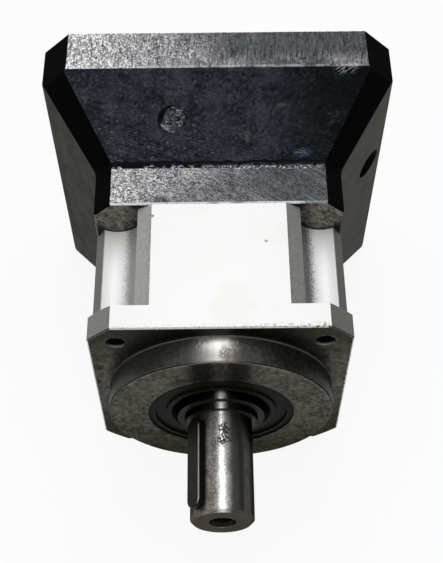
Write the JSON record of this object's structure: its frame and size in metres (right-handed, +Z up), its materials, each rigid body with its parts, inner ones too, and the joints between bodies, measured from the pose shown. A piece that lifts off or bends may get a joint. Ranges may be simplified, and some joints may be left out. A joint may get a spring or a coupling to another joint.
{
  "type": "servo gear reducer",
  "caption": "Inline planetary gear reducer: square flange with pilot and keyed output shaft, fluted housing, and a tapered black adapter that clamps a servo motor's shaft.",
  "frame": {"origin": "centre of the output mounting face, on the gear axis", "axes": "-Y points out along the output shaft, +Y towards the motor face, +Z up as in the picture"},
  "size_m": [0.13, 0.164, 0.13],
  "materials": {
    "satin_housing": "satin plated steel with light handling stains",
    "black_adapter": "black anodised casting, ground side faces, worn bright edges",
    "ground_shaft": "ground steel with light pitting",
    "key_steel": "dark drawn steel",
    "gear_steel": "case hardened, ground teeth",
    "bearing_steel": "polished bearing steel",
    "bronze_bush": "plain bearing bronze",
    "black_screw": "black oxide",
    "seal_rubber": "black nitrile rubber"
  },
  "bodies": {
    "housing": {"gear_housing": "satin_housing", "ring_gear": "gear_steel", "motor_adapter": "black_adapter", "adapter_screws": "black_screw", "output_seal": "seal_rubber", "front_bearing_outer_ring": "bearing_steel", "front_bearing_circlip": "key_steel", "rear_bearing_outer_ring": "bearing_steel", "input_bearing_outer_ring": "bearing_steel", "input_bearing_circlip": "key_steel", "input_seal": "seal_rubber"},
    "output_carrier": {"output_shaft": "ground_shaft", "output_key": "key_steel", "front_bearing_inner_ring": "bearing_steel", "rear_bearing_inner_ring": "bearing_steel", "carrier_rear_plate": "ground_shaft", "carrier_screws": "black_screw", "planet_pin_1": "bearing_steel", "planet_pin_2": "bearing_steel", "planet_pin_3": "bearing_steel"},
    "input_shaft": {"sun_shaft": "gear_steel", "clamp_collar": "black_screw", "clamp_screw": "black_screw", "input_bearing_inner_ring": "bearing_steel"},
    "planet_1": {"planet_gear_1": "gear_steel", "planet_bush_1": "bronze_bush"},
    "planet_2": {"planet_gear_2": "gear_steel", "planet_bush_2": "bronze_bush"},
    "planet_3": {"planet_gear_3": "gear_steel", "planet_bush_3": "bronze_bush"},
    "front_roller_set": {"front_bearing_rollers": "bearing_steel", "front_bearing_cage": "bronze_bush"},
    "rear_roller_set": {"rear_bearing_rollers": "bearing_steel", "rear_bearing_cage": "bronze_bush"},
    "input_roller_set": {"input_bearing_rollers": "bearing_steel", "input_bearing_cage": "bronze_bush"}
  },
  "joints": [
    {"name": "output_turn", "type": "hinge", "parent": "housing", "child": "output_carrier", "pos_m": [0, 0, 0], "axis": [0, 1, 0], "continuous": true},
    {"name": "input_turn", "type": "hinge", "parent": "housing", "child": "input_shaft", "pos_m": [0, 0, 0], "axis": [0, 1, 0], "continuous": true},
    {"name": "planet_1_spin", "type": "hinge", "parent": "output_carrier", "child": "planet_1", "pos_m": [-0.02108, 0, 0.00788], "axis": [0, 1, 0], "continuous": true},
    {"name": "planet_2_spin", "type": "hinge", "parent": "output_carrier", "child": "planet_2", "pos_m": [0.00371, 0, -0.02219], "axis": [0, 1, 0], "continuous": true},
    {"name": "planet_3_spin", "type": "hinge", "parent": "output_carrier", "child": "planet_3", "pos_m": [0.01736, 0, 0.01431], "axis": [0, 1, 0], "continuous": true},
    {"name": "front_rollers_turn", "type": "hinge", "parent": "housing", "child": "front_roller_set", "pos_m": [0, 0, 0], "axis": [0, 1, 0], "continuous": true},
    {"name": "rear_rollers_turn", "type": "hinge", "parent": "housing", "child": "rear_roller_set", "pos_m": [0, 0, 0], "axis": [0, 1, 0], "continuous": true},
    {"name": "input_rollers_turn", "type": "hinge", "parent": "housing", "child": "input_roller_set", "pos_m": [0, 0, 0], "axis": [0, 1, 0], "continuous": true}
  ],
  "couplings": [
    {"joint": "input_turn", "follows": "output_turn", "ratio": 4},
    {"joint": "planet_1_spin", "follows": "output_turn", "ratio": -3},
    {"joint": "planet_2_spin", "follows": "output_turn", "ratio": -3},
    {"joint": "planet_3_spin", "follows": "output_turn", "ratio": -3},
    {"joint": "front_rollers_turn", "follows": "output_turn", "ratio": 0.4499},
    {"joint": "rear_rollers_turn", "follows": "output_turn", "ratio": 0.47652},
    {"joint": "input_rollers_turn", "follows": "output_turn", "ratio": 1.8447}
  ]
}
